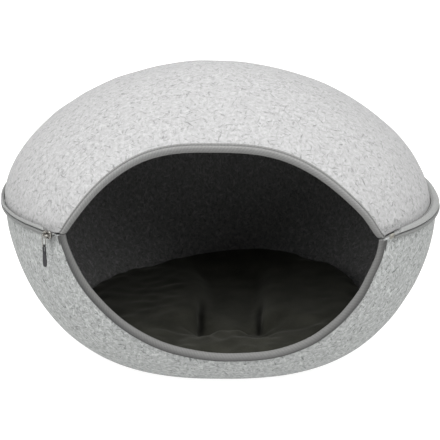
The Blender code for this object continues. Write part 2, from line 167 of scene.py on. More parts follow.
# ----------------------------------------------- felt halves
# Dome and bowl: needled melange felt, 3 mm thick, each moulded in one piece from a flat blank
# and trimmed at the zip and at the mouth. The moulding stretches it down the sides.
HALF_WIDTH = 0.235          # middle to the outermost edge of the zip, along X
DEPTH_RATIO = 0.90          # depth over width, in plan
PLAN_POWER = 2.35           # superellipse power of the plan: 2 is an ellipse
SEAM_HEIGHT = 0.181         # height of the zip above the floor, at X = 0
SEAM_TILT = 0.0102          # the zip falls by this share of X towards +X
SAG = {"left": 0.0025, "right": 0.0045, "at": 0.1605, "wide": 0.010, "tall": 0.030}
FELT = 0.0030
LINING = 0.0015
TAPE = 0.0010
GAP = 0.00045
RIM_GAP = 0.0009            # half of the slot between the two felt rims
WALL = FELT + GAP + LINING
DOME = {"rise": 0.1386, "power": 1.760, "flat": 0.0, "inset": 0.0071, "lean": -0.0028,
        "sway": -0.0024, "up": 1.0}
BOWL = {"rise": SEAM_HEIGHT, "power": 1.858, "flat": 0.423, "inset": 0.0035, "lean": 0.0007,
        "sway": 0.0014, "up": -1.0}
ZIP_EDGE = {"rise": 1.0, "power": 2.0, "flat": 0.0, "inset": 0.0, "lean": 0.0, "sway": 0.0,
            "up": 1.0}
SHELLS = {"dome": DOME, "bowl": BOWL}
MOUTH_HALF = 0.1605
MOUTH_MIDDLE = 0.0048
ARCHES = {
    "dome": {"rise": 0.0867, "a": 2.86, "b": 0.954, "skew": -0.0084, "end": 0.0018},
    "bowl": {"rise": 0.1345, "a": 2.29, "b": 1.509, "skew": 0.0126, "end": RIM_GAP},
}
BINDING_WIDTH = 0.0050      # width of the binding that shows on the outer face
FELT_INSET = BINDING_WIDTH - TAPE - GAP
TAPE_END = 0.0028           # the zip's tapes stop this far outside the mouth's corner
TAB_LENGTH = 0.0034
FELT_GRID = {"front": 220, "back": 200, "rows": 64, "base": 10}
COLUMN_CROWDING = 0.85      # how much closer together the back columns stand at the corners
ROW_CROWDING = 1.6          # power that draws the rows together at the edge
LUMPS = {"height": 0.00035, "lengths": (0.034, 0.050, 0.075, 0.110), "seed": 11}
LUMPS_FROM = 0.02           # the lumps fade out below this height, towards the flat base
PINCH = {"deep": 0.0011, "wide": 0.0042, "past_corner": 0.010}   # felt drawn in along the mouth
GATHERS = (                 # the bowl's creases beside the mouth's left corner
    {"away": 0.0100, "deep": 0.0030, "wide": 0.0021, "fall": 0.027},
    {"away": 0.0165, "deep": 0.0014, "wide": 0.0022, "fall": 0.020},
)
GATHER_START = 0.004        # distance under the seam at which they reach their depth
FLAT_NOISE = {"noise_dimensions": "2D"}
TEXTURE = {"vector_type": "TEXTURE"}
SMOOTH = {"interpolation_type": "SMOOTHSTEP"}


def bell(away, wide):
    """Bell curve: 1 at no distance, and 1/e where the distance is as much as wide."""
    return np.exp(-(away / wide) ** 2)


def unit(vectors):
    """Vectors of length one."""
    return vectors / np.linalg.norm(vectors, axis=-1, keepdims=True)


def plan_radius(phi):
    """Distance from the axis to the zip's outermost edge: a superellipse in the direction phi."""
    across = np.abs(np.cos(phi)) ** PLAN_POWER
    along = np.abs(np.sin(phi) / DEPTH_RATIO) ** PLAN_POWER
    return HALF_WIDTH * (across + along) ** (-1.0 / PLAN_POWER)


def tilted(x, y, z):
    """Points of the upright shape, lowered in step with X up to the seam's full tilt, and by the
    sag of the seam at the mouth's corners."""
    drop = SEAM_TILT * x * np.minimum(z / SEAM_HEIGHT, 1.0)
    near = bell(np.abs(x) - SAG["at"], SAG["wide"]) * bell(z - SEAM_HEIGHT, SAG["tall"]) * (y < 0.0)
    sag = np.where(x > 0.0, SAG["right"], SAG["left"]) * near
    return np.stack(np.broadcast_arrays(x, y, z - drop - sag), axis=-1)


def shell_point(shell, phi, angle):
    """Outer face of a half: the reach falls as cos(angle)^(2/power) from rim to pole while the
    height grows as sin(angle)^(2/power)."""
    phi, angle = np.broadcast_arrays(phi, angle)
    power = 2.0 / shell["power"]
    reach = shell["flat"] + (1.0 - shell["flat"]) * np.maximum(np.cos(angle), 0.0) ** power
    reach = reach * (plan_radius(phi) - shell["inset"])
    height = shell["rise"] * np.sin(angle) ** power
    x = shell["lean"] + shell["sway"] * np.sin(angle) + reach * np.cos(phi)
    return tilted(x, reach * np.sin(phi), SEAM_HEIGHT + shell["up"] * height)


def shell_angle(shell, height):
    """Angle at which a half is this far from the seam."""
    return np.arcsin(np.clip(height / shell["rise"], 0.0, 1.0) ** (shell["power"] / 2.0))


def shell_normal(shell, phi, angle):
    """Outward normal of a half, from its two tangents."""
    step = 1e-4
    angle = np.clip(angle, 0.01, np.pi / 2 - 0.01)
    round_it = shell_point(shell, phi + step, angle) - shell_point(shell, phi - step, angle)
    along_it = shell_point(shell, phi, angle + step) - shell_point(shell, phi, angle - step)
    return unit(np.cross(round_it, along_it)) * shell["up"]


def arch_line(arch, inset, count):
    """Positions across the mouth and heights from the seam of an arch, moved in by inset:
    rise * (1 - |s|^a)^(1/b), with s from -1 to 1 across the mouth, and never under its end."""
    share = np.sin(np.linspace(-0.5, 0.5, count + 1) * np.pi)
    across = MOUTH_MIDDLE + arch["skew"] * (1.0 - share ** 2) + share * (MOUTH_HALF - inset)
    height = (arch["rise"] - inset) * (1.0 - np.abs(share) ** arch["a"]) ** (1.0 / arch["b"])
    return across, np.maximum(height, arch["end"])


def front_phi(shell, across, angle):
    """Direction, on the front side, in which a half reaches this X: by bisection."""
    low = np.full_like(across, -np.pi)
    high = np.zeros_like(across)
    for _ in range(40):
        middle = 0.5 * (low + high)
        beyond = shell_point(shell, middle, angle)[..., 0] > across
        high = np.where(beyond, middle, high)
        low = np.where(beyond, low, middle)
    return 0.5 * (low + high)


def corner_phi(shell, across, angle=0.0):
    """Direction, on the front side, of one point of a half, or of the zip's edge."""
    return float(front_phi(shell, np.array([across]), np.array([angle]))[0])


def back_columns(shell, count):
    """Directions from the mouth's right corner round the back to its left corner."""
    right = corner_phi(shell, MOUTH_MIDDLE + MOUTH_HALF + TAPE_END + TAB_LENGTH + GAP)
    left = corner_phi(shell, MOUTH_MIDDLE - MOUTH_HALF - TAPE_END) + 2.0 * np.pi
    return np.linspace(right, left, count + 1)


def lumps(points):
    """How far hand-moulded felt stands proud: the sum of plane waves of four lengths, three of
    each in seeded directions."""
    dice = np.random.default_rng(LUMPS["seed"])
    total = np.zeros(points.shape[:-1])
    for length in LUMPS["lengths"]:
        for wave in unit(dice.normal(size=(3, 3))):
            total += np.sin(points @ wave * (2.0 * np.pi / length) + dice.uniform(0.0, 6.28))
    return LUMPS["height"] * total / len(LUMPS["lengths"])


def skin(name, rings, lay, material, tips=None, joined=False):
    """A closed skin, or several like ones in one mesh: rings of points one after another.

    rings is (rings, points round, 3), with one more axis in front for several copies. The ends
    close at tips, two points for each copy, or else at the middle of the first and last ring;
    joined rings have no ends. lay is each point's place on the flat cloth in metres, with one
    more column, and one more ring where the rings join, for the way round.
    The volume's sign tells whether the faces look outwards, and turns them if not.
    """
    rings = rings.reshape(-1, *rings.shape[-3:])
    copies, ring_count, round_count, _ = rings.shape
    row, column = np.meshgrid(np.arange(ring_count - (not joined)), np.arange(round_count),
                              indexing="ij")
    row = row.reshape(-1, 1) + np.array([[0, 0, 1, 1]])
    column = column.reshape(-1, 1) + np.array([[0, 1, 1, 0]])
    lay = np.broadcast_to(lay, (copies, *lay.shape[-3:]))
    faces = [(row % ring_count) * round_count + column % round_count]
    places = [lay[:, row, column]]
    points, size = rings.reshape(copies, -1, 3), ring_count * round_count
    if not joined:
        tips = rings[:, [0, -1]].mean(axis=2) if tips is None else tips.reshape(-1, 2, 3)
        points = np.concatenate([points, tips], axis=1)
        ring = np.arange(round_count)
        after, last = (ring + 1) % round_count, (ring_count - 1) * round_count
        faces.append(np.stack([after, ring, np.full_like(ring, size)], axis=1))
        faces.append(np.stack([last + ring, last + after, np.full_like(ring, size + 1)], axis=1))
        for end, turn in ((0, 1), (-1, -1)):
            edge = lay[:, end]
            middle = np.broadcast_to(edge[:, :-1].mean(axis=1, keepdims=True), edge[:, 1:].shape)
            places.append(np.stack([*[edge[:, 1:], edge[:, :-1]][::turn], middle], axis=2))
    offset = np.arange(copies).reshape(-1, 1, 1) * points.shape[1]
    faces = [(part[None] + offset).reshape(-1, part.shape[-1]) for part in faces]
    places = [part.reshape(-1, part.shape[-2], 2) for part in places]
    points = points.reshape(-1, 3)
    volume = 0.0
    for part in faces:
        for i in range(1, part.shape[1] - 1):
            a, b, c = points[part[:, 0]], points[part[:, i]], points[part[:, i + 1]]
            volume += np.einsum("ij,ij->", a, np.cross(b, c))
    if volume < 0.0:
        faces = [part[:, ::-1] for part in faces]
        places = [part[:, ::-1] for part in places]
    mesh = bpy.data.meshes.new(name)
    mesh.from_pydata(points.tolist(), [], [face for part in faces for face in part.tolist()])
    spread = np.concatenate([part.reshape(-1, 2) for part in places])
    mesh.uv_layers.new(name="lay").data.foreach_set("uv", spread.astype(np.float32).ravel())
    mesh.shade_smooth()
    mesh.materials.append(material)
    item = bpy.data.objects.new(name, mesh)
    scene.collection.objects.link(item)
    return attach(item, "root")


def gathers(points):
    """How far the bowl is drawn in beside the mouth's left corner: upright dips, each a bell curve
    across, that start under the zip's tape and fade downwards."""
    corner = corner_phi(BOWL, MOUTH_MIDDLE - MOUTH_HALF, shell_angle(BOWL, RIM_GAP))
    away = HALF_WIDTH * (corner - np.arctan2(points[..., 1], points[..., 0]))
    below = np.maximum(SEAM_HEIGHT - points[..., 2], 0.0)
    total = sum(dip["deep"] * bell(away - dip["away"], dip["wide"]) * bell(below, dip["fall"])
                for dip in GATHERS)
    return total * (1.0 - bell(below, GATHER_START))


def felt_layer(name, half, depth, thickness, grid, material):
    """One cloth layer of a half, between two faces parallel to the moulded shape.

    Columns go once round: along the mouth's arch, then round the back. Rows run from the edge to
    the pole. On the flat cloth a point lies as far from the middle as it does along the shape.
    The felt is drawn in fully under the sewn binding, and this fades with the distance.
    """
    shell = SHELLS[half]
    across, height = arch_line(ARCHES[half], FELT_INSET, grid["front"])
    front = front_phi(shell, across, shell_angle(shell, height))
    behind = back_columns(shell, grid["back"])
    place = np.linspace(0.0, 1.0, len(behind))
    crowded = place - COLUMN_CROWDING * np.sin(2.0 * np.pi * place) / (2.0 * np.pi)
    behind = np.interp(crowded, place, behind)
    phi = np.concatenate([front, behind])
    edge = shell_angle(shell, np.concatenate([height, np.full(len(behind), RIM_GAP)]))
    from_corner = HALF_WIDTH * np.minimum(behind - behind[0], behind[-1] - behind)
    drawn_in = np.concatenate([np.ones(len(front)), bell(from_corner, PINCH["past_corner"])])
    share = np.linspace(0.0, 1.0, grid["rows"] + 1)[:-1, None] ** ROW_CROWDING
    angles = edge + (np.pi / 2 - edge) * share
    points, normals = shell_point(shell, phi, angles), shell_normal(shell, phi, angles)
    pole = shell_point(shell, np.zeros(1), np.full(1, np.pi / 2))[0]
    if shell["flat"] > 0.0:
        rim = shell_point(shell, phi, np.full_like(phi, np.pi / 2))
        pole = np.array([0.0, 0.0, rim[0, 2]])
        base = pole + (rim - pole) * np.linspace(1.0, 0.0, grid["base"] + 1)[:-1, None, None]
        base[..., 2] = 0.0
        points = np.concatenate([points, base])
        normals = np.concatenate([normals, np.broadcast_to([0.0, 0.0, -1.0], base.shape)])
    column = np.concatenate([points, np.broadcast_to(pole, points[-1:].shape)])
    steps = np.linalg.norm(np.diff(column, axis=0), axis=-1)
    run = np.cumsum(steps[::-1], axis=0)[::-1]
    lay = run[..., None] * np.stack([np.cos(phi), np.sin(phi)], axis=-1)
    up = np.array([0.0, 0.0, shell["up"]])
    under_tape = np.maximum(run[:1] - run - FELT_INSET, 0.0)
    proud = lumps(points) * np.clip(points[..., 2] / LUMPS_FROM, 0.0, 1.0)
    proud = proud - PINCH["deep"] * drawn_in * bell(under_tape, PINCH["wide"])
    if half == "bowl":
        proud = proud - gathers(points)
    points = points + normals * proud[..., None]
    pole = pole + up * float(lumps(pole)) * min(float(pole[2]) / LUMPS_FROM, 1.0)
    faces = depth, depth + thickness
    outer, inner = (points - normals * deep for deep in faces)
    lay = np.concatenate([lay[::-1], lay])
    lay = np.concatenate([lay, lay[:, :1]], axis=1)
    return skin(name, np.concatenate([outer[::-1], inner]), lay, material,
                np.stack([pole - up * deep for deep in faces]))


def melange_felt(name, colours, contrast, sheen):
    """Needled felt of mixed fibres: a soft 4 mm mottle under 40 mm clouds, with scattered locks of
    dark and of pale fibre, 2.5 mm by 8 mm, that lie in three directions in the plane of the cloth.
    Dry and matt, with a faint bloom from the loose fibre ends."""
    material, tree, shader = new_material(name)
    lay = add(tree, "UVMap", {"uv_map": "lay"})
    grain, masks = {}, {}
    for kind, size, detail, rough in (("mottle", 0.0042, 3.0, 0.6), ("cloud", 0.040, 2.0, 0.5)):
        spot = add(tree, "Mapping", TEXTURE, vector=lay, scale=(size, size, 1.0))
        grain[kind] = add(tree, "TexNoise", FLAT_NOISE, vector=spot, scale=1.0, detail=detail,
                          roughness=rough)
    for kind, shift, scale, low, high in (("dark", 0.0, (0.0085, 0.0026, 1.0), 0.60, 0.84),
                                          ("pale", 3.7, (0.0080, 0.0030, 1.0), 0.58, 0.82)):
        mask = None
        for number, turn in enumerate((0.35, 1.35, 2.45)):
            spot = add(tree, "Mapping", TEXTURE, vector=lay, scale=scale,
                       location=(shift + number, shift - number, 0.0),
                       rotation=(0.0, 0.0, turn + 0.3 * shift))
            locks = add(tree, "TexNoise", FLAT_NOISE, vector=spot, scale=1.0, detail=1.5,
                        roughness=0.45, distortion=0.6)
            mask = locks if mask is None else add(tree, "Math", {"operation": "MAXIMUM"},
                                                  n0=mask, n1=locks)
        masks[kind] = add(tree, "MapRange", SMOOTH, value=mask, from_min=low, from_max=high,
                          to_min=0.0, to_max=contrast[kind])
    masks["cloud"] = add(tree, "MapRange", value=grain["cloud"], from_min=0.35, from_max=0.65,
                         to_min=0.0, to_max=contrast["cloud"])
    speck = add(tree, "MapRange", value=grain["mottle"], from_min=0.30, from_max=0.70)
    body = add(tree, "Mix", RGBA, n0=speck, n6=colours["low"], n7=colours["high"])
    for kind in ("cloud", "dark", "pale"):
        body = add(tree, "Mix", RGBA, n0=masks[kind], n6=body, n7=colours[kind])
    join(tree, shader, base_color=body, specular_ior_level=0.15, sheen_weight=sheen,
         sheen_roughness=0.5,
         roughness=add(tree, "MapRange", value=grain["mottle"], to_min=0.88, to_max=1.0),
         normal=add(tree, "Bump", height=grain["mottle"], strength=contrast["relief"],
                    distance=0.0012))
    return material


def felt_piece(name, half, node, depth, thickness, grid, material):
    """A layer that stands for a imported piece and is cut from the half's flat blank."""
    piece = felt_layer(name, half, depth, thickness, grid, material)
    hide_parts(node)


dome_felt = melange_felt(
    "needled_melange_felt",
    {"low": "#8e8e8e", "high": "#a0a0a0", "cloud": "#959595", "dark": "#606161", "pale": "#adadad"},
    {"dark": 0.72, "pale": 0.42, "cloud": 0.35, "relief": 0.35}, 0.05)
# The bowl's copy of the felt is darker, with stronger dark and pale flecks: painted shade for the
# bowl, which gets less light than the dome, and fleck contrast that stands in for grazing light.
bowl_felt = melange_felt(
    "needled_melange_felt_shaded_copy",
    {"low": "#828483", "high": "#a0a2a1", "cloud": "#8f9190", "dark": "#484b4a", "pale": "#b9bbba"},
    {"dark": 0.80, "pale": 0.60, "cloud": 0.35, "relief": 0.50}, 0.05)
for half, node, resting, cloth in (("dome", "upper_shell", "felt_bowl", dome_felt),
                                   ("bowl", "lower_shell", "floor", bowl_felt)):
    felt_piece("felt_" + half, half, node, 0.0, FELT, FELT_GRID, cloth)

# --------------------------------------------------- linings
# The inner layer of each half: thin anthracite felt with the same kind of fibre, moulded with
# the outer felt and trimmed to the same edge.
LINING_GRID = {"front": 130, "back": 120, "rows": 34, "base": 6}

dark_felt = melange_felt(
    "anthracite_felt",
    {"low": "#646464", "high": "#828281", "cloud": "#707070", "dark": "#3a3a3a", "pale": "#a4a4a3"},
    {"dark": 0.55, "pale": 0.55, "cloud": 0.5, "relief": 0.6}, 0.14)
for half, node in (("dome", "upper_lining"), ("bowl", "lower_lining")):
    felt_piece("lining_" + half, half, node, FELT + GAP, LINING,
               LINING_GRID, dark_felt)

# --------------------------------------------- mouth binding
# Ribbed tape folded round the cut edge of both layers, one length on each arch. One row of
# stitches holds the flange to the felt, and the fold swells beside it.
BINDING_STATIONS = 520
FOLD_REACH = {"dome": 0.0019, "bowl": 0.0010}    # the fold stands this far beyond the felt's edge
FLANGE_TOP = 0.0010
SWELL = 0.0017
STITCH_GROOVE = {"at": -0.0018, "deep": 0.0007, "wide": 0.00045}
RIB = {"pitch": 0.0028, "height": 0.00003, "slant": 0.55, "end": 0.0098, "fade": 0.002}
INNER_LEG = 0.0026
CUT_EDGE = 0.00015          # a cut edge of the tape is bevelled by this much
LEG_BEND = 0.0010           # the inner leg lies flat from here on
STITCH = {"pitch": 0.0031, "length": 0.0023, "radius": 0.00024, "rings": 5, "sides": 6,
          "start": 0.0015, "thin": 0.45, "rise": 0.00030, "sunk": 0.75, "tip": 0.0001,
          "proud": 0.0001, "round": 0.0015}


def circle(count):
    """Angles once round."""
    return np.linspace(0.0, 2.0 * np.pi, count, endpoint=False)


def arch_frame(shell, arch, inset, count):
    """Points, outward normals and directions into the opening along a mouth arch."""
    across, height = arch_line(arch, inset, count)
    angle = shell_angle(shell, height)
    phi = front_phi(shell, across, angle)
    points, normals = shell_point(shell, phi, angle), shell_normal(shell, phi, angle)
    points = points + normals * (lumps(points) - PINCH["deep"])[..., None]
    along = unit(np.gradient(points, axis=0))
    return points, normals, unit(np.cross(along, normals)) * shell["up"]


def run_length(points):
    """Distance along a line of points from its first one."""
    return np.concatenate([[0.0], np.cumsum(np.linalg.norm(np.diff(points, axis=0), axis=-1))])


def along_line(spots, run, line):
    """What a line's points or directions are at these distances along it."""
    return np.stack([np.interp(spots, run, line[:, axis]) for axis in range(3)], axis=-1)


def swept_lay(along, round_it):
    """Place on the flat cloth of each point of a grid: along it, and round its section."""
    return np.stack(np.broadcast_arrays(along[:, None], round_it), axis=-1)


def flange_height(inwards):
    """Height of the tape's face over the felt: a groove at the stitches, then a swelling."""
    at = STITCH_GROOVE["at"]
    rise = np.clip((inwards - at) / -at, 0.0, 1.0)
    groove = STITCH_GROOVE["deep"] * bell(inwards - at, STITCH_GROOVE["wide"])
    return FLANGE_TOP + SWELL * np.sin(0.5 * np.pi * rise) - groove


def binding_outline(fold_reach):
    """The folded tape's outline as distances inwards from the felt's cut edge and outwards from
    its face: the flange, half an ellipse round the edge, the inner leg and the way back."""
    flange = np.linspace(-FELT_INSET + CUT_EDGE, -0.0001, 16)
    turn = np.linspace(0.5, -0.5, 15) * np.pi
    low, deep = -WALL - GAP, -WALL - GAP - TAPE
    middle, half = (FLANGE_TOP + SWELL + deep) / 2.0, (FLANGE_TOP + SWELL - deep) / 2.0
    legs = ((-LEG_BEND, deep), (-INNER_LEG + 0.0002, deep + 0.0001),
            (-INNER_LEG, 0.5 * (low + deep)), (-INNER_LEG + 0.0002, low - 0.0001),
            (-LEG_BEND, low), (GAP, low), (GAP, GAP), (-2.0 * LEG_BEND, GAP),
            (-FELT_INSET + CUT_EDGE, 0.00035), (-FELT_INSET, 0.00070))
    face = np.stack([flange, flange_height(flange)], axis=-1)
    fold = np.stack([fold_reach * np.cos(turn), middle + half * np.sin(turn)], axis=-1)
    return np.concatenate([face, fold, legs]).T


def binding_point(frames, inwards, height):
    """Points at these distances from the felt's cut edge, all along an arch."""
    (edge, edge_out, edge_in), (rim, rim_out, _) = frames
    share = np.clip(-inwards / FELT_INSET, 0.0, 1.0)[..., None]
    out = edge_out[:, None] * (1.0 - share) + rim_out[:, None] * share
    base = edge[:, None] * (1.0 - share) + rim[:, None] * share
    return base + edge_in[:, None] * np.maximum(inwards, 0.0)[..., None] + out * height[..., None]


def binding(name, shell, arch, fold_reach, material):
    """The tape's outline carried along an arch, with shallow slanting ribs on its face."""
    frames = [arch_frame(shell, arch, inset, BINDING_STATIONS) for inset in (FELT_INSET, 0.0)]
    inwards, height = binding_outline(fold_reach)
    along = run_length(frames[0][0])
    round_it = run_length(np.stack([inwards, height], axis=-1))
    wave = np.cos(2.0 * np.pi * (along[:, None] - RIB["slant"] * round_it) / RIB["pitch"])
    on_face = np.clip((RIB["end"] - round_it) / RIB["fade"], 0.0, 1.0)
    ribbed = height[None, :] + RIB["height"] * wave * on_face
    rings = binding_point(frames, np.broadcast_to(inwards, ribbed.shape), ribbed)
    lay = swept_lay(along, np.append(round_it, round_it[-1] + 0.0005))
    return skin(name, rings, lay, material), frames


def stitches(name, line, out, material):
    """A row of stitches along a line: each a short thread whose ends dip into the cloth."""
    run = run_length(line)
    starts = np.arange(STITCH["start"], run[-1] - STITCH["pitch"], STITCH["pitch"])
    share = np.linspace(0.0, 1.0, STITCH["rings"])
    spots = starts[:, None] + share * STITCH["length"]
    middle, away = along_line(spots, run, line), unit(along_line(spots, run, out))
    ahead = unit(np.gradient(middle, axis=1))
    side = unit(np.cross(ahead, away))
    arch = np.sin(np.pi * share)[None, :, None]
    middle = middle + away * (STITCH["rise"] * (arch - STITCH["sunk"]))
    turn = circle(STITCH["sides"])[:, None]
    radius = STITCH["radius"] * (STITCH["thin"] + (1.0 - STITCH["thin"]) * arch)[..., None]
    rings = middle[:, :, None] + radius * (side[:, :, None] * np.cos(turn)
                                           + away[:, :, None] * np.sin(turn))
    round_it = np.linspace(0.0, STITCH["round"], STITCH["sides"] + 1)
    lay = swept_lay(share * STITCH["length"], round_it)
    tip = ahead * STITCH["tip"]
    tips = np.stack([middle[:, 0] - tip[:, 0], middle[:, -1] + tip[:, -1]], axis=1)
    return skin(name, rings, lay, material, tips)


def ribbed_cloth(name, colours, rib, slant, relief, sewn):
    """Woven tape with raised cross ribs: fine threads run along it, and the ribs catch the light.
    A polyester cloth with a slight sheen; the rib pitch is the real one. Along one line across
    the tape it is darkened by painted shade, such as the shade in the groove of a row of stitches.
    sewn says where that line lies across the tape, at what distance from it the third colour has
    faded out, and how much of that colour there is on the line."""
    material, tree, shader = new_material(name)
    at, fade, share = sewn
    lay = add(tree, "UVMap", {"uv_map": "lay"})
    turned = add(tree, "Mapping", TEXTURE, vector=lay, rotation=(0.0, 0.0, slant),
                 scale=(rib, rib, 1.0))
    ribs = add(tree, "TexWave", {"bands_direction": "X", "wave_profile": "SIN"}, vector=turned,
               scale=math.pi / 10.0, distortion=0.6, detail=1.0, detail_scale=0.6)
    thread = add(tree, "Mapping", TEXTURE, vector=lay, scale=(0.0040, 0.0007, 1.0))
    yarn = add(tree, "TexNoise", FLAT_NOISE, vector=thread, scale=1.0, detail=2.0, roughness=0.6)
    blend = add(tree, "Math", {"operation": "MULTIPLY_ADD"}, n0=ribs.outputs["Fac"], n1=0.30,
                n2=yarn)
    tone = add(tree, "MapRange", value=blend, from_min=0.30, from_max=1.00)
    mix = add(tree, "Mix", RGBA, n0=tone, n6=colours[0], n7=colours[1])
    # The third colour, mixed in along a line across the tape, is painted shade.
    width = add(tree, "SeparateXYZ", vector=lay)
    beside = add(tree, "Math", {"operation": "SUBTRACT"}, n0=width.outputs["Y"], n1=at)
    beside = add(tree, "Math", {"operation": "ABSOLUTE"}, n0=beside)
    drawn = add(tree, "MapRange", SMOOTH, value=beside, from_min=0.0, from_max=fade, to_min=share,
                to_max=0.0)
    join(tree, shader, base_color=add(tree, "Mix", RGBA, n0=drawn, n6=mix, n7=colours[2]),
         normal=add(tree, "Bump", height=blend, strength=0.5, distance=relief),
         roughness=0.75, specular_ior_level=0.25, sheen_weight=0.12, sheen_roughness=0.4)
    return material


# The lower binding's copy is darker than the upper's: painted shade for the arch that gets less
# light. Each is painted darker along its stitches, and the lower one broadly across its face:
# painted shade.
ribbed_tapes = {
    "upper": ribbed_cloth("ribbed_binding_tape", ("#6b6b6a", "#7e7e7d", "#303030"), RIB["pitch"],
                          0.5, 0.00010, (0.0026, 0.0024, 0.85)),
    "lower": ribbed_cloth("ribbed_binding_tape_shaded_copy", ("#5b5b5a", "#6b6b6a", "#222222"),
                          RIB["pitch"], 0.5, 0.00010, (0.0035, 0.0085, 0.80)),
}

# Spun polyester thread: two plies, so a fine slanting line along each stitch; a soft sheen.
sewing_thread, tree, shader = new_material("grey_sewing_thread")
ply = add(tree, "Mapping", TEXTURE, vector=add(tree, "UVMap", {"uv_map": "lay"}),
          rotation=(0.0, 0.0, 0.7), scale=(0.0004, 0.0004, 1.0))
twist = add(tree, "TexWave", vector=ply, scale=math.pi / 10.0, distortion=0.5)
join(tree, shader, roughness=0.6,
     base_color=add(tree, "Mix", RGBA, n0=twist.outputs["Fac"], n6="#464746", n7="#5b5c5b"))

for level, half, cut_length in (("upper", "dome", 0.40), ("lower", "bowl", 0.46)):
    piece, frames = binding("mouth_tape_" + level, SHELLS[half], ARCHES[half], FOLD_REACH[half],
                            ribbed_tapes[level])
    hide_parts("mouth_binding_" + level)
    groove = np.full((BINDING_STATIONS + 1, 1), STITCH_GROOVE["at"])
    line = binding_point(frames, groove, flange_height(groove) + STITCH["proud"])[:, 0]
    seam = stitches("mouth_stitches_" + level, line, frames[1][1], sewing_thread)

# ------------------------------------------------- zip tapes
# Two woven tapes, one sewn to each felt half. The upper slopes out from the dome, the lower
# up from the bowl, and their folded lips meet in front of the teeth.
ZIP_STATIONS = 560
LIP = {"gap": 0.00055, "open": 0.0017,      # half of the slit: closed, and past the slider
       "spread": 0.011, "round": 0.0006, "set_back": 0.0002}
TAPE_FALL = 0.0007          # the tape's back lies this far under its face
TAPE_FOOT = 0.0001          # its cut edge stands this much off the felt
TAPE_FULLNESS = 0.8         # power of the half wave that a tape swells by
TAPE_HEIGHT = {"dome": 0.0020, "bowl": 0.0042}
TAPE_SHAPE = {
    "upper": {"swell": 0.0022, "groove": 0.14, "deep": 0.0013, "wide": 0.045},
    "lower": {"swell": 0.0014, "groove": 0.16, "deep": 0.0011, "wide": 0.080},
}
TAPE_TAPER = {"least": 0.45, "stations": 14}    # a tape narrows towards its two cut ends
LIP_TURNS = ((0.0004, 0.0002), (0.0008, 0.0000), (0.0013, 0.0000), (0.0018, 0.0001),
             (0.0018, 0.0007), (0.0013, 0.0008))    # depths and heights over the lip


def seam_point(phi, inwards, height):
    """Point in from the zip's outermost edge, at a height from the seam."""
    rim, ahead = (plan_radius(way)[..., None] * np.stack([np.cos(way), np.sin(way)], axis=-1)
                  for way in (phi, phi + 1e-4))
    run = unit(ahead - rim)
    outwards = np.stack([run[..., 1], -run[..., 0]], axis=-1)
    spot = rim - outwards * np.asarray(inwards, dtype=float)[..., None]
    return tilted(spot[..., 0], spot[..., 1], SEAM_HEIGHT + height + 0.0 * phi)


def lip_gap(phi):
    """Half the slit between the lips: narrow while the teeth are closed, wide past the slider."""
    line = seam_point(phi, 0.0, 0.0)
    away = np.linalg.norm(line - line[-1], axis=-1)
    return LIP["gap"] + (LIP["open"] - LIP["gap"]) * np.clip(1.0 - away / LIP["spread"], 0.0, 1.0)


def zip_tape(level, shell, height, up, material):
    """A tape's section carried round the zip: out from the felt, grooved at its stitches,
    swelling, rounded at the lip and turned in towards the teeth."""
    shape = TAPE_SHAPE[level]
    phi, side = back_columns(ZIP_EDGE, ZIP_STATIONS), back_columns(shell, ZIP_STATIONS)
    count = np.arange(len(side))
    from_end = np.minimum(np.minimum(count, count[::-1]) / TAPE_TAPER["stations"], 1.0)
    taper = TAPE_TAPER["least"] + (1.0 - TAPE_TAPER["least"]) * np.sin(0.5 * np.pi * from_end)
    foot = shell_angle(shell, height * taper)
    wall, out = shell_point(shell, side, foot), shell_normal(shell, side, foot)
    wall = wall + out * lumps(wall)[:, None]
    gap = lip_gap(phi)
    start = wall + out * (GAP + TAPE)
    lip = seam_point(phi, np.full_like(phi, LIP["set_back"]), up * (gap + LIP["round"]))
    across = lip - start
    face = unit(np.cross(unit(np.gradient(start, axis=0)), across))
    face = face * np.sign(np.einsum("ij,ij->i", face, out))[:, None]

    def above(share, rise):
        """Points at these shares of the way across, raised from the straight line."""
        return start[:, None] + across[:, None] * share[:, None] + face[:, None] * rise[:, None]

    def swelling(share):
        """Height of the tape's swelling at these shares of the way across."""
        return shape["swell"] * np.sin(np.pi * share) ** TAPE_FULLNESS

    share = np.linspace(0.0, 1.0, 15)
    under = share[::-1][1::2]
    groove = shape["deep"] * bell(share - shape["groove"], shape["wide"])
    turned = np.stack([seam_point(phi, np.full_like(phi, depth), up * (gap + rise))
                       for depth, rise in LIP_TURNS], axis=1)
    rings = np.concatenate([above(share, swelling(share) - groove), turned,
                            above(under, swelling(under) - TAPE_FALL),
                            (wall + out * (GAP + TAPE_FOOT))[:, None]], axis=1)
    round_it = run_length(rings[len(rings) // 2])
    lay = swept_lay(run_length(start), np.append(round_it, round_it[-1] + 0.001))
    piece = skin("zip_tape_" + level + "_cloth", rings, lay, material)
    sewn = np.array([shape["groove"]])
    line = above(sewn, swelling(sewn) - shape["deep"] + STITCH["proud"])[:, 0]
    return piece, stitches("zip_stitches_" + level, line, face, sewing_thread)


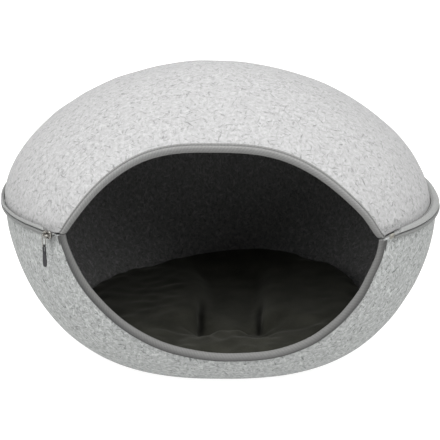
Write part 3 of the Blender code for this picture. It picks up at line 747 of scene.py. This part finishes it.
# Both tapes are painted darker along the edge where they meet the felt: a painted shadow line. The
# lower tape's copy is darker all over, painted shade for the tape that faces down, and its painted
# shadow line is darker and wider.
upper_cloth = ribbed_cloth("woven_zip_tape", ("#757675", "#878887", "#444544"), 0.0012, 0.0,
                           0.00012, (0.0008, 0.0008, 0.7))
lower_cloth = ribbed_cloth("woven_zip_tape_shaded_copy", ("#626362", "#707170", "#1e1f1e"), 0.0012,
                           0.0, 0.00012, (0.0008, 0.0028, 0.95))
for level, half, up, cut_width, cut_area, cloth in (
        ("upper", "dome", 1.0, 0.011, 0.0110, upper_cloth),
        ("lower", "bowl", -1.0, 0.010, 0.0088, lower_cloth)):
    piece, seam = zip_tape(level, SHELLS[half], TAPE_HEIGHT[half], up, cloth)
    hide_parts("zip_tape_" + level)

# ------------------------------------------------- zip teeth
# Two rows of nylon teeth that interlock behind the lips, from the mouth's right corner round the
# back to the slider.
TOOTH = {"pitch": 0.0015, "reach": 0.0008, "overlap": 0.0003, "wide": 0.00034, "deep": 0.00050,
         "depth": 0.0014, "end": 0.001}
TOOTH_RINGS = {"at": (0.0, 0.25, 0.75, 1.0), "width": (0.55, 1.0, 1.0, 0.8)}


def zip_teeth(name, material):
    """Beads on end, alternately from the upper and the lower tape: rings whose width falls
    towards both ends of an upright axis."""
    phi = back_columns(ZIP_EDGE, ZIP_STATIONS)
    line = seam_point(phi, np.full_like(phi, TOOTH["depth"]), 0.0)
    run = run_length(line)
    starts = np.arange(TOOTH["end"], run[-1] - TOOTH["end"], TOOTH["pitch"] / 2.0)
    middle = along_line(starts, run, line)
    ahead = unit(np.gradient(middle, axis=0))
    up = np.array([0.0, 0.0, 1.0])
    above = np.where(np.arange(len(starts)) % 2 == 0, 1.0, -1.0)
    away = unit(np.cross(ahead, up)) * above[:, None]
    share, width = (np.array(TOOTH_RINGS[key]) for key in ("at", "width"))
    rise = (-TOOTH["overlap"] + share * (TOOTH["reach"] + TOOTH["overlap"])) * above[:, None]
    sideways = TOOTH["wide"] * width[:, None] * np.cos(circle(6))
    deep = TOOTH["deep"] * width[:, None] * np.sin(circle(6))
    rings = (middle[:, None, None] + up * rise[:, :, None, None]
             + ahead[:, None, None] * sideways[..., None] + away[:, None, None] * deep[..., None])
    return skin(name, rings, swept_lay(share * 0.001, np.linspace(0.0, 0.003, 7)), material)


# Moulded nylon: dark grey, a little glossy, faintly mottled.
tooth_nylon, tree, shader = new_material("moulded_nylon_teeth")
spot = add(tree, "TexCoord").outputs["Object"]
grain = add(tree, "TexNoise", vector=spot, scale=900.0, detail=1.0)
join(tree, shader, base_color=add(tree, "Mix", RGBA, n0=grain, n6="#2c2d2c", n7="#3c3d3c"),
     roughness=0.45)
teeth = zip_teeth("zip_teeth_rows", tooth_nylon)
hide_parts("zip_chain")

# ----------------------------------------------- zip end tab
# A scrap of beige tape folded over the closed end of the zip at the mouth's right corner and
# caught in the seam.
TAB = {"half": 0.0026, "depth": 0.0028, "raise": 0.0015,     # it rides above the sagging corner
       "before": 0.0003, "beyond": 0.0006, "ends": 0.04, "round": 0.28, "corner": 0.7,
       "pinch": 0.0004, "pinch_wide": 0.0005, "swell": 0.0004, "proud": 0.0002}


def squared(wave, power):
    """A sine or cosine whose circle becomes a rounded rectangle: the size of the wave to a power
    below one, with the wave's sign."""
    return np.sign(wave) * np.abs(wave) ** power


def end_tab(name, material):
    """A soft folded pad: superellipse rings along the zip, pinched along the middle."""
    start = MOUTH_MIDDLE + MOUTH_HALF + TAPE_END - TAB["before"]
    first, last = (corner_phi(ZIP_EDGE, x) for x in (start, start + TAB_LENGTH + TAB["beyond"]))
    share = np.linspace(0.0, 1.0, 17)
    full = np.sin(np.pi * (TAB["ends"] + (1.0 - 2.0 * TAB["ends"]) * share)) ** TAB["round"]
    rounded, deep = (squared(wave(circle(28)), TAB["corner"]) for wave in (np.sin, np.cos))
    pinch = TAB["pinch"] * bell(rounded * TAB["half"], TAB["pinch_wide"]) * (deep < 0.0)
    rings = []
    for phi, size in zip(first + (last - first) * share, full):
        half = 0.5 * TAB["depth"]
        depth = half + (half + TAB["swell"]) * deep * size + pinch - TAB["proud"]
        rings.append(seam_point(np.full_like(depth, phi), depth,
                                TAB["raise"] + TAB["half"] * rounded * size))
    lay = swept_lay(share * TAB_LENGTH, np.linspace(0.0, 0.016, 29))
    return skin(name, np.array(rings), lay, material)


# The tab is painted darker along the pinch in the middle of its face: painted shade in the crease.
tab_cloth = ribbed_cloth("beige_cotton_tape", ("#6e6d67", "#7f7d76", "#55544f"), 0.0011, 0.2,
                         0.00012, (0.0080, 0.0010, 0.5))
tab = end_tab("zip_tab", tab_cloth)
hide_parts("zip_end_tab")

# ------------------------------------- slider, link and pull
# A die-cast slider straddles the lips at the mouth's left corner. A wire link hangs on its
# bridge, and a slim pull with a slot hangs on the link.
SLIDER_X = -0.1649
SLIDER = {"half_length": 0.0054, "half_height": 0.0045, "near": -0.0001, "far": 0.0025,
          "corner": 0.62, "waist": 0.16, "waist_at": 0.0008, "waist_wide": 0.0020, "tail": 0.10,
          "near_step": 0.001}
BRIDGE = {"half": 0.0036, "bar": 0.0059, "sunk": 0.0008, "corner": 0.55, "thick": 0.00062,
          "wide": 0.00105}
LINK = {"wire": 0.00048, "half": 0.0020, "top": 0.0016, "bottom": -0.0111}
PULL = {"top": -0.0091, "bottom": -0.0320, "top_half": 0.0018, "bottom_half": 0.0026,
        "thick": 0.0013, "corner": 0.45, "flare": 1.5}
PULL_SLOT = {"half": 0.0009, "top": -0.0102, "bottom": -0.0160}

slider_phi = np.array([corner_phi(ZIP_EDGE, SLIDER_X)])
slider_spot = seam_point(slider_phi, 0.0, 0.0)[0]
slider_out = slider_spot - seam_point(slider_phi, np.array([SLIDER["near_step"]]), 0.0)[0]
slider_out = unit(slider_out * np.array([1.0, 1.0, 0.0]))
slider_run = np.array([-slider_out[1], slider_out[0], 0.0])


def placed(run, outwards, up):
    """Slider coordinates, along the zip, outwards and up, as world points."""
    run, outwards, up = (part[..., None] for part in np.broadcast_arrays(run, outwards, up))
    return slider_spot + run * slider_run + outwards * slider_out + up * np.array([0.0, 0.0, 1.0])


def plain_lay(rings, count, size):
    """Place on the surface for small hard pieces: once along and once round, in metres."""
    return swept_lay(np.linspace(0.0, size, rings), np.linspace(0.0, size, count))


def slider_body(name, material):
    """Slider plate: rings of a waisted outline that round over at the face, dished round the
    bridge, then in at the back."""
    turn = circle(72)
    near, far, length = SLIDER["near"], SLIDER["far"], SLIDER["half_length"]
    run = length * squared(np.cos(turn), SLIDER["corner"])
    waist = 1.0 - SLIDER["waist"] * bell(run - SLIDER["waist_at"], SLIDER["waist_wide"])
    waist = waist - SLIDER["tail"] * (run < 0) * (run / length) ** 2
    rise = SLIDER["half_height"] * waist * squared(np.sin(turn), SLIDER["corner"])
    sections = (            # share of the outline's size, and depth
        (0.50, near), (0.80, near), (0.96, near + 0.0001), (1.0, near + 0.0004),
        (1.0, far - 0.0008), (0.97, far - 0.0003), (0.91, far), (0.84, far), (0.78, far - 0.00025),
        (0.60, far - 0.0003), (0.30, far - 0.0003))
    rings = np.array([placed(run * scale, depth, rise * scale) for scale, depth in sections])
    tips = placed(np.zeros(2), np.array([near, far - 0.0003]), np.zeros(2))
    return skin(name, rings, plain_lay(len(sections), 73, 0.01), material, tips)


def slider_bridge(name, material):
    """A flat bar bent into an arch over the plate: an oval section along a superellipse."""
    share = np.linspace(1.0, 0.0, 25) * np.pi
    base, corner = SLIDER["far"] - BRIDGE["sunk"], BRIDGE["corner"]
    line = np.stack([BRIDGE["half"] * squared(np.cos(share), corner),
                     base + (BRIDGE["bar"] - base) * np.abs(np.sin(share)) ** corner], axis=-1)
    ahead = unit(np.gradient(line, axis=0))
    spread = BRIDGE["thick"] * np.cos(circle(14))
    rings = placed(line[:, :1] + ahead[:, 1:] * spread, line[:, 1:] - ahead[:, :1] * spread,
                   BRIDGE["wide"] * np.sin(circle(14)))
    return skin(name, rings, plain_lay(25, 15, 0.008), material)


def wire_link(name, material):
    """Round wire bent into a long ring: circles along a stadium, joined end to end."""
    turn, ring, half = circle(64), circle(12), LINK["half"]
    middle = np.where(np.sin(turn) > 0.0, LINK["top"] - half, LINK["bottom"] + half)
    reach = half + LINK["wire"] * np.cos(ring)
    rings = placed(LINK["wire"] * np.sin(ring), BRIDGE["bar"] + reach * np.cos(turn)[:, None],
                   middle[:, None] + reach * np.sin(turn)[:, None])
    return skin(name, rings, plain_lay(65, 13, 0.03), material, joined=True)


def slim_pull(name, material):
    """A slotted bar: its outline and its slot's outline are joined by a rounded section that
    goes round both faces."""
    across, upright = (squared(wave(circle(80)), PULL["corner"]) for wave in (np.cos, np.sin))
    rise, slot_rise = (0.5 * (shape["top"] * (1.0 + upright) + shape["bottom"] * (1.0 - upright))
                       for shape in (PULL, PULL_SLOT))
    share = np.clip((PULL["top"] - rise) / (PULL["top"] - PULL["bottom"]), 0.0, 1.0)
    wide = PULL["top_half"] + (PULL["bottom_half"] - PULL["top_half"]) * share ** PULL["flare"]
    outer = np.stack([wide * across, rise], axis=-1)
    inner = np.stack([PULL_SLOT["half"] * across, slot_rise], axis=-1)
    front = (               # share of the way in to the slot, share of half the thickness
        (0.0, 0.45), (0.03, 0.85), (0.10, 1.0), (0.22, 1.0), (0.30, 0.72), (0.70, 0.72),
        (0.80, 1.0), (0.93, 1.0), (1.0, 0.55))
    sections = front + tuple((part, -depth) for part, depth in front[::-1])
    rings = []
    for part, depth in sections:
        line = outer + (inner - outer) * part
        rings.append(placed(line[:, 0], BRIDGE["bar"] + 0.5 * PULL["thick"] * depth, line[:, 1]))
    lay = plain_lay(len(sections) + 1, 81, 0.05)
    return skin(name, np.array(rings), lay, material, joined=True)


def cast_metal(name, colour, worn, roughness):
    """Plated die-cast metal: bright, with hazy wear and fine scuffs."""
    material, tree, shader = new_material(name)
    spot = add(tree, "TexCoord").outputs["Object"]
    scuff = add(tree, "TexNoise", vector=spot, scale=700.0, detail=3.0)
    hazy = add(tree, "MapRange", value=scuff, to_min=roughness - 0.08, to_max=roughness + 0.12)
    join(tree, shader, base_color=add(tree, "Mix", RGBA, n0=scuff, n6=colour, n7=worn),
         metallic=1.0, roughness=hazy)
    return material


nickel = cast_metal("nickel_plated_zinc", "#6c6a66", "#9c9a95", 0.22)
gunmetal = cast_metal("gunmetal_plated_zinc", "#2f2f31", "#4a4a4c", 0.34)
for build, name, node, finish, metal in (
        (slider_body, "slider_plate", "zip_slider", "nickel", nickel),
        (slider_bridge, "slider_bridge", "zip_slider", "nickel", nickel),
        (wire_link, "slider_link", "zip_link", "nickel", nickel),
        (slim_pull, "slider_pull", "zip_pull", "gunmetal", gunmetal)):
    piece = build(name, metal)
    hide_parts(node)

# --------------------------------------------------- cushion
# A loose round cushion of black short-pile plush, filled with fibre. It is drawn in at two
# tufts near the front, and creases run back from them between three swellings.
CUSHION_CLEAR = 0.0006
CUSHION_SIDE_CLEAR = 0.0022
CUSHION_FLOOR_HEIGHTS = (0.010, 0.018, 0.027, 0.035)
CUSHION_CENTRE = 0.054
CUSHION_RIM = {"height": 0.0485, "rise_to_x": 0.0085, "hump": 0.019, "hump_at": 1.19,
               "hump_wide": 1.0, "reach": 0.99, "turn": 0.16, "power": 2.4}
TUFTS = ({"x": -0.021, "y": -0.080}, {"x": 0.043, "y": -0.090})
TUFT = {"deep": 0.011, "wide": 0.012, "held": 0.010, "held_over": 0.025}
VALLEY = {"deep": 0.015, "edge": 0.011, "front": -0.092, "run_in": 0.022, "back": 0.070,
          "run_out": 0.060}
CUSHION_ROUND = 96
VOXEL = 0.005
HELD_BELOW = 0.020          # the cover doesn't move under this height
MOST_SWELL = 0.006
SETTLED = {"least_height": 0.0075, "side_clear": 0.0012}
TOP_FROM = (0.030, 0.040)   # heights between which the creases start
CREASE = {"deep": 0.0035, "left": (0.0042, (-0.086, -0.070), (-0.005, 0.035)),    # width, ends
          "right": (0.0038, (-0.092, -0.076), (0.005, 0.045))}
FAN = {"deep": 0.0008, "folds": 7.0, "turn": 1.3, "at": 0.018, "wide": 0.012}
FOLDS = {"count": 8, "bend": 0.35, "bend_in": (0.010, 0.022), "fade_along": (0.012, 0.030),
         "fade_across": (0.015, 0.035), "evened": 2.5}
WRINKLES = (                # axis and side, from, to, deep, lengths, heading, spread, seed
    (0, -1.0, 0.030, 0.055, 0.0009, (0.018, 0.044), 1.50, 0.30, 3),
    (1, -1.0, 0.075, 0.105, 0.0015, (0.013, 0.030), 1.20, 0.70, 5),
    (0, 1.0, 0.060, 0.100, 0.0005, (0.020, 0.040), 1.00, 0.30, 8),
)


def bowl_reach(phi, height, clear):
    """Distance from the axis to the bowl's lining at a height above the floor."""
    angle = shell_angle(BOWL, SEAM_HEIGHT - height)
    spot = shell_point(BOWL, phi, angle) - shell_normal(BOWL, phi, angle) * (WALL + clear)
    return np.hypot(spot[..., 0], spot[..., 1]), spot[..., 2]


def left_crease(y):
    """X of the crease behind the left tuft, which swings to the left towards the back."""
    return -0.0195 - 18.0 * np.maximum(y, 0.0) ** 3


def right_crease(y):
    """X of the nearly straight crease behind the right tuft."""
    return 0.0467 + 0.085 * np.maximum(y, -0.05)


def step_up(value, low, high):
    """Smooth step from 0 at low to 1 at high."""
    share = np.clip((value - low) / (high - low), 0.0, 1.0)
    return share * share * (3.0 - 2.0 * share)


def cushion_rim(phi):
    """Height of the rim in each direction: it rises towards +X, with a bell-shaped hump at the
    back right, where the filling has shifted."""
    away = (phi - CUSHION_RIM["hump_at"] + np.pi) % (2.0 * np.pi) - np.pi
    hump = CUSHION_RIM["hump"] * bell(away, CUSHION_RIM["hump_wide"])
    return CUSHION_RIM["height"] + CUSHION_RIM["rise_to_x"] * np.cos(phi) + hump


def cushion_top(x, y, rim_height, out):
    """Height of the cover: a crown, a valley between the two creases, and the tufts."""
    height = CUSHION_CENTRE + (rim_height - CUSHION_CENTRE) * np.clip(out, 0.0, 1.0) ** 2
    edge = VALLEY["edge"]
    inside = step_up(x - left_crease(y), -edge, edge) * step_up(right_crease(y) - x, -edge, edge)
    inside = inside * step_up(y, VALLEY["front"], VALLEY["front"] + VALLEY["run_in"])
    inside = inside * step_up(-y, -VALLEY["back"] - VALLEY["run_out"], -VALLEY["back"])
    height = height - VALLEY["deep"] * inside
    for tuft in TUFTS:
        away = np.hypot(x - tuft["x"], y - tuft["y"])
        height = height - TUFT["deep"] * np.exp(-0.5 * (away / TUFT["wide"]) ** 2)
    return height


def cushion_form():
    """Rings of the filled form, from its underside up the bowl's side and over the crown."""
    phi = circle(CUSHION_ROUND)

    def ring(reach, height):
        """A level ring, or one that follows the heights."""
        x, y = reach * np.cos(phi), reach * np.sin(phi)
        return np.stack(np.broadcast_arrays(x, y, height), axis=-1)

    floor_height = WALL + CUSHION_CLEAR
    base = (plan_radius(phi) - BOWL["inset"]) * BOWL["flat"] - CUSHION_SIDE_CLEAR
    rings = [ring(base * share, floor_height) for share in (0.25, 0.5, 0.75, 1.0)]
    for level in CUSHION_FLOOR_HEIGHTS:
        reach, height = bowl_reach(phi, np.full_like(phi, level), CUSHION_SIDE_CLEAR)
        rings.append(ring(reach, height))
    rim = cushion_rim(phi)
    for share in np.linspace(0.0, 1.0, 26)[1:-1]:
        x, y, _ = ring(reach * (1.0 - share) * CUSHION_RIM["reach"], height).T
        turned = 1.0 - np.clip(share / CUSHION_RIM["turn"], 0.0, 1.0)
        rise = (1.0 - turned ** CUSHION_RIM["power"]) ** 0.5
        crown = cushion_top(x, y, rim, 1.0 - share)
        rings.append(np.stack([x, y, height + (crown - height) * rise], axis=-1))
    middle = float(cushion_top(0.0, 0.0, CUSHION_CENTRE, 0.0))
    return np.array(rings), np.array([[0.0, 0.0, floor_height], [0.0, 0.0, middle]])


def read(mesh, what="co"):
    """The mesh's points, or another value with three parts, as an array."""
    values = np.empty(len(mesh.vertices) * 3, np.float32)
    mesh.vertices.foreach_get(what, values)
    return values.reshape(-1, 3).astype(float)


def move(mesh, points):
    """Put the mesh's points where the array says."""
    mesh.vertices.foreach_set("co", points.astype(np.float32).ravel())


def applied(item):
    """Put the modifiers' result into the object and take the modifiers off."""
    graph = bpy.context.evaluated_depsgraph_get()
    mesh = bpy.data.meshes.new_from_object(item.evaluated_get(graph))
    item.modifiers.clear()
    item.data = mesh


def settle(points, start):
    """Keep the swelling within bounds, and inside the bowl's lining and over its floor."""
    change = points - start
    size = np.linalg.norm(change, axis=1, keepdims=True)
    points = start + change * np.minimum(1.0, MOST_SWELL / np.maximum(size, 1e-9))
    points[:, 2] = np.maximum(points[:, 2], WALL + CUSHION_CLEAR)
    phi = np.arctan2(points[:, 1], points[:, 0])
    height = np.maximum(points[:, 2], SETTLED["least_height"])
    most, _ = bowl_reach(phi, height, SETTLED["side_clear"])
    radius = np.hypot(points[:, 0], points[:, 1])
    points[:, :2] *= np.minimum(1.0, most / np.maximum(radius, 1e-9))[:, None]
    return points


def wrinkles(points, lengths, heading, spread, seed):
    """Uneven folds from -1 to 1: eight waves of seeded length and of seeded direction round the
    heading, each bent by a slow wave across it and fading in and out along its crest."""
    dice = np.random.default_rng(seed)
    total = np.zeros(len(points))
    for _ in range(FOLDS["count"]):
        length = dice.uniform(*lengths)
        turn = heading + dice.normal(0.0, spread)
        across = points[:, 0] * np.cos(turn) + points[:, 1] * np.sin(turn)
        along = points[:, 1] * np.cos(turn) - points[:, 0] * np.sin(turn)
        bend = np.sin(along / dice.uniform(*FOLDS["bend_in"]) + dice.uniform(0.0, 6.28))
        fade = np.sin(along / dice.uniform(*FOLDS["fade_along"]) + dice.uniform(0.0, 6.28))
        fade = fade * np.sin(across / dice.uniform(*FOLDS["fade_across"]) + dice.uniform(0.0, 6.28))
        across = across + FOLDS["bend"] * length * bend
        wave = np.sin(2.0 * np.pi * across / length + dice.uniform(0.0, 6.28))
        total += wave * np.clip(0.5 + fade, 0.0, 1.0)
    return total / FOLDS["evened"]


def crease_lines(points):
    """From 0 to 1 towards the line that runs back from each tuft."""
    x, y, z = points.T
    lines = []
    for side, middle in (("left", left_crease(y)), ("right", right_crease(y))):
        wide, front, behind = CREASE[side]
        lines.append(bell(x - middle, wide) * step_up(y, *front) * step_up(-y, *behind))
    return np.maximum(*lines) * step_up(z, *TOP_FROM)


def creases(points):
    """How deep the cover is drawn in: a sharp line behind each tuft, folds that fan out from
    the tufts, uneven cross wrinkles on the left swelling and a crumpled front."""
    total = CREASE["deep"] * crease_lines(points)
    for tuft in TUFTS:
        dx, dy = points[:, 0] - tuft["x"], points[:, 1] - tuft["y"]
        fan = np.sin(FAN["folds"] * np.arctan2(dy, dx) + FAN["turn"])
        total += FAN["deep"] * fan * bell(np.hypot(dx, dy) - FAN["at"], FAN["wide"])
    for axis, side, start, end, deep, *waves in WRINKLES:
        total += step_up(side * points[:, axis], start, end) * deep * wrinkles(points, *waves)
    return total * step_up(points[:, 2], *TOP_FROM)


# Short-pile polyester plush: nearly black with an olive cast; the pile lightens where it is
# seen from the side. Along the creases its colour is darkened to black: painted shade.
plush, tree, shader = new_material("black_short_pile_plush")
spot = add(tree, "TexCoord").outputs["Object"]
nap = add(tree, "TexNoise", vector=spot, scale=34.0, detail=2.0, roughness=0.5)
pile = add(tree, "TexNoise", vector=spot, scale=620.0, detail=2.0, roughness=0.6)
brushed = add(tree, "Math", {"operation": "MULTIPLY_ADD"}, n0=pile, n1=0.5, n2=nap)
tone = add(tree, "MapRange", value=brushed, from_min=0.50, from_max=1.0)
mix = add(tree, "Mix", RGBA, n0=tone, n6="#1b1b17", n7="#2d2d28")
painted_crease_shade = add(tree, "Attribute", {"attribute_name": "crease"}).outputs["Fac"]
join(tree, shader, base_color=add(tree, "Mix", RGBA, n0=painted_crease_shade, n6=mix, n7="#050504"),
     normal=add(tree, "Bump", height=pile, strength=0.5, distance=0.0006),
     roughness=0.95, specular_ior_level=0.05, sheen_weight=0.24, sheen_roughness=0.45,
     sheen_tint="#90908a")

rings, tips = cushion_form()
cushion = skin("plush_cushion", rings, plain_lay(len(rings), CUSHION_ROUND + 1, 0.3), plush, tips)
remesh = cushion.modifiers.new("even", "REMESH")
remesh.mode = "VOXEL"
remesh.voxel_size = VOXEL
applied(cushion)
before = read(cushion.data)

held = 1.0 * (before[:, 2] < HELD_BELOW)
for tuft in TUFTS:
    near = bell(np.hypot(before[:, 0] - tuft["x"], before[:, 1] - tuft["y"]), TUFT["held"])
    held = np.maximum(held, near * (before[:, 2] > TUFT["held_over"]))
pins = cushion.vertex_groups.new(name="held")
for level in range(1, 11):
    pins.add(np.nonzero(np.round(held * 10) == level)[0].tolist(), level / 10.0, "REPLACE")
filling = cushion.modifiers.new("fill", "CLOTH").settings
filling.quality = 5
filling.mass = 0.3
filling.tension_stiffness = 12.0
filling.compression_stiffness = 12.0
filling.bending_stiffness = 0.3
filling.use_pressure = True
filling.uniform_pressure_force = 4.0
filling.vertex_group_mass = "held"
filling.effector_weights.gravity = 0.0
for number in range(1, 21):
    scene.frame_set(number)
applied(cushion)
scene.frame_set(1)
cushion.vertex_groups.clear()

move(cushion.data, settle(read(cushion.data), before))
finer = cushion.modifiers.new("finer", "SUBSURF")
finer.levels = finer.render_levels = 1
applied(cushion)

points = read(cushion.data)
cushion.data.update()
move(cushion.data, points - read(cushion.data, "normal") * creases(points)[:, None])
# The crease lines are kept on the cushion for the plush to darken: painted shade in the creases.
depth = cushion.data.attributes.new("crease", "FLOAT", "POINT")
depth.data.foreach_set("value", crease_lines(read(cushion.data)).astype(np.float32))
cushion.data.shade_smooth()
cushion.data.materials.clear()
cushion.data.materials.append(plush)
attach(cushion, "root")
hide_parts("cushion")
